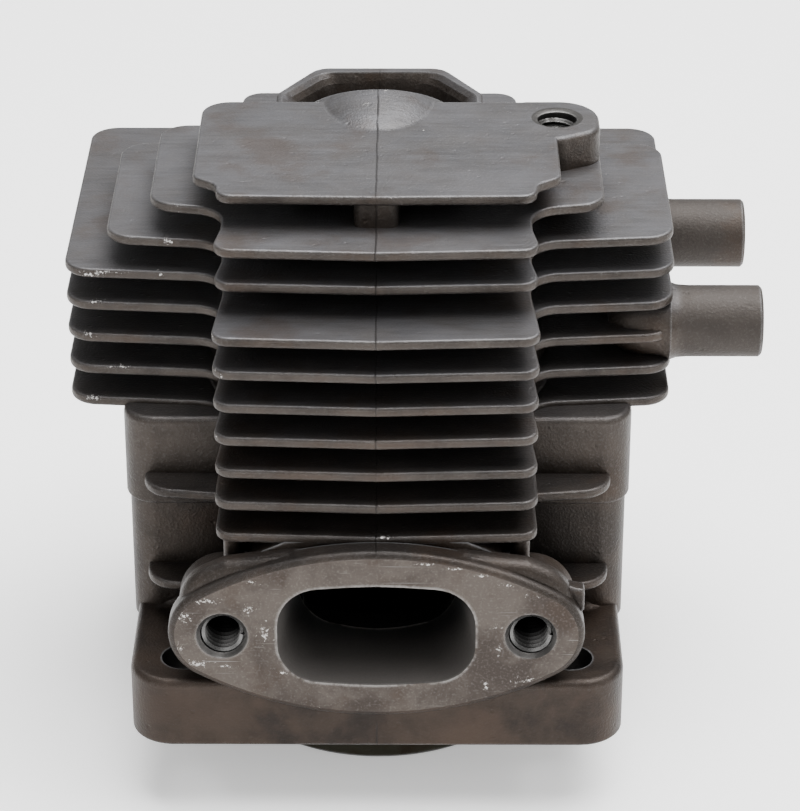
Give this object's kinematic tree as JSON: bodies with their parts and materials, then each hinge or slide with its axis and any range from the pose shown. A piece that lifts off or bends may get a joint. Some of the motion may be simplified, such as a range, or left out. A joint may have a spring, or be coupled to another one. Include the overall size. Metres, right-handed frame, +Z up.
{
  "type": "engine cylinder",
  "caption": "Air-cooled two-stroke engine cylinder cast in one piece with its head: fin stack, oval exhaust flange, square base, liner and coil posts.",
  "frame": {"origin": "on the ground under the middle of the whole object's box, at the height of the liner's lower end; the bore axis stands 5.2 mm towards -X and 1.5 mm towards -Y of it", "axes": "+Z up along the bore, away from the crankcase; -Y out of the exhaust flange; +Y out of the intake flange; +X along the coil posts"},
  "size_m": [0.0964, 0.075, 0.0895],
  "materials": {
    "die_cast_aluminium": "aged, grey-brown, satin die casting with light wear on its edges",
    "liner_iron": "honed bore, oily grey-green outside",
    "insert_steel": "bright wound wire"
  },
  "bodies": {
    "root": {"cylinder_casting": "die_cast_aluminium", "cylinder_liner": "liner_iron", "exhaust_thread_insert_left": "insert_steel", "exhaust_thread_insert_right": "insert_steel"}
  },
  "joints": []
}
